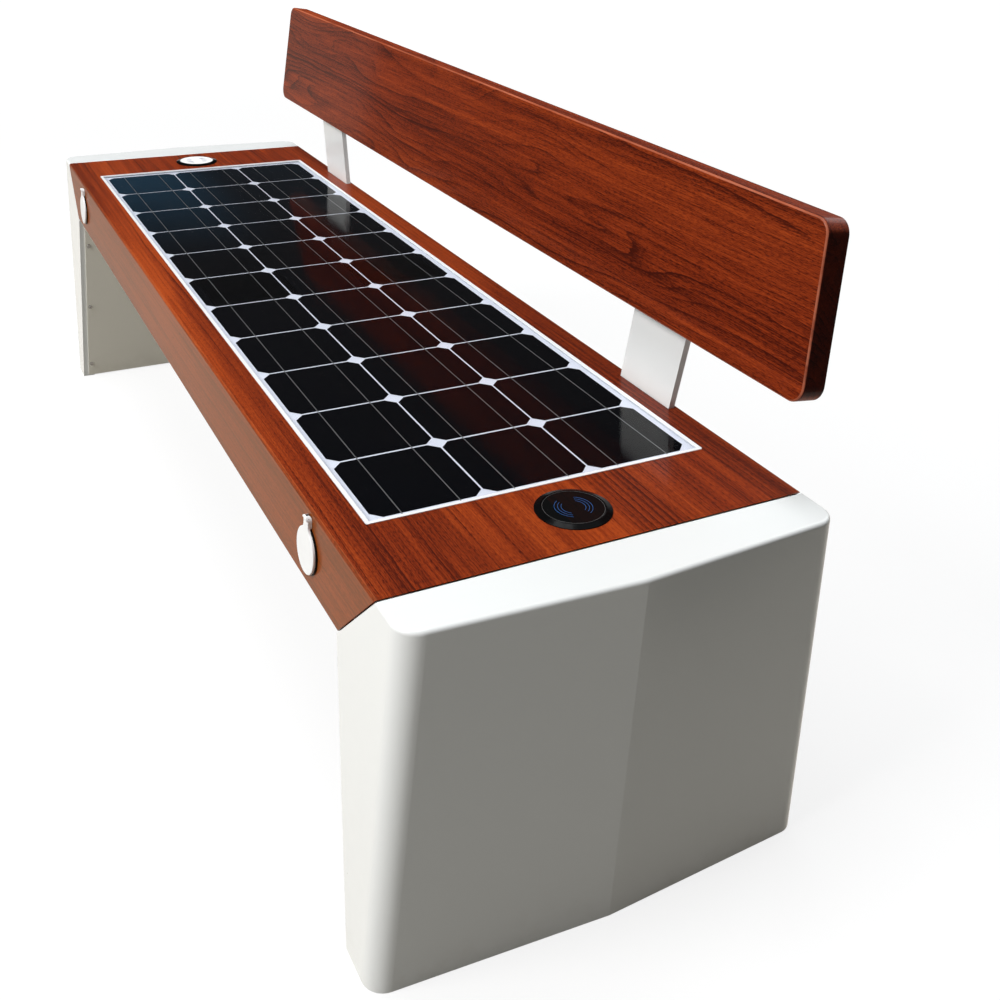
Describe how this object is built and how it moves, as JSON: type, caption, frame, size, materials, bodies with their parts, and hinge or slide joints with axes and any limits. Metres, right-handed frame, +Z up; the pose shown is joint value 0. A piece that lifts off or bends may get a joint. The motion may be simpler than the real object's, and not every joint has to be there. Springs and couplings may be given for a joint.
{
  "type": "solar charging bench",
  "caption": "Metal bench with faceted white legs, wood-grain seat and back board, inset solar panel, wireless charging pads and capped USB sockets.",
  "frame": {"origin": "on the floor, under the middle of the base", "axes": "+X along the bench, -Y the way the sitter faces, +Z up; the end at +X is called right"},
  "size_m": [1.8, 0.556, 0.7313],
  "materials": {
    "white_powder_coat": "smooth white powder coat, semi-gloss",
    "inner_plate_coat": "warm light grey powder coat, satin",
    "screw_steel": "stainless steel",
    "frame_steel": "galvanised steel",
    "wood_print": "reddish-brown wood grain transferred on powder coat, glossy",
    "cover_steel": "dark grey powder coat",
    "panel_rim": "white lacquered aluminium",
    "panel_backsheet": "white back sheet",
    "solar_cell": "dark blue-black silicon",
    "panel_glass": "clear tempered glass",
    "black_plastic": "black moulded plastic, satin",
    "battery_case": "dark grey battery case",
    "controller_case": "anodised die-cast housing",
    "charger_gloss": "glossy black disc with blue arcs",
    "coil_copper": "enamelled copper coil",
    "cap_white": "white moulded cap",
    "pin_steel": "stainless pin"
  },
  "bodies": {
    "bench": {"back_bolts": "screw_steel", "back_cover": "wood_print", "back_pan": "wood_print", "back_post_left": "white_powder_coat", "back_post_right": "white_powder_coat", "back_stiffener": "frame_steel", "battery_box": "battery_case", "bottom_cover": "cover_steel", "bottom_cover_screws": "screw_steel", "charge_controller": "controller_case", "charger_coil_left": "coil_copper", "charger_coil_right": "coil_copper", "charger_housing_left": "black_plastic", "charger_housing_right": "black_plastic", "charger_nut_left": "black_plastic", "charger_nut_right": "black_plastic", "charger_top_left": "charger_gloss", "charger_top_right": "charger_gloss", "cross_members": "frame_steel", "end_frame_left": "frame_steel", "end_frame_right": "frame_steel", "junction_box": "black_plastic", "leg_inner_plate_left": "inner_plate_coat", "leg_inner_plate_right": "inner_plate_coat", "leg_plate_screws_left": "screw_steel", "leg_plate_screws_right": "screw_steel", "leg_shell_left": "white_powder_coat", "leg_shell_right": "white_powder_coat", "panel_backsheet": "panel_backsheet", "panel_glass": "panel_glass", "panel_rim": "panel_rim", "post_bolts": "screw_steel", "post_bracket_left": "frame_steel", "post_bracket_right": "frame_steel", "seat_pan": "wood_print", "seat_rail_front": "frame_steel", "seat_rail_rear": "frame_steel", "solar_cells": "solar_cell", "usb_hinge_pin_left": "pin_steel", "usb_hinge_pin_right": "pin_steel", "usb_nut_left": "black_plastic", "usb_nut_right": "black_plastic", "usb_socket_left": "black_plastic", "usb_socket_right": "black_plastic"},
    "usb_cap_right": {"usb_cap_right": "cap_white"},
    "usb_cap_left": {"usb_cap_left": "cap_white"}
  },
  "joints": [
    {"name": "usb_cap_right_hinge", "type": "hinge", "parent": "bench", "child": "usb_cap_right", "pos_m": [0.655, -0.24308, 0.44114], "axis": [-1, 0, 0], "range_deg": [0, 100]},
    {"name": "usb_cap_left_hinge", "type": "hinge", "parent": "bench", "child": "usb_cap_left", "pos_m": [-0.655, -0.24308, 0.44114], "axis": [-1, 0, 0], "range_deg": [0, 100]}
  ]
}
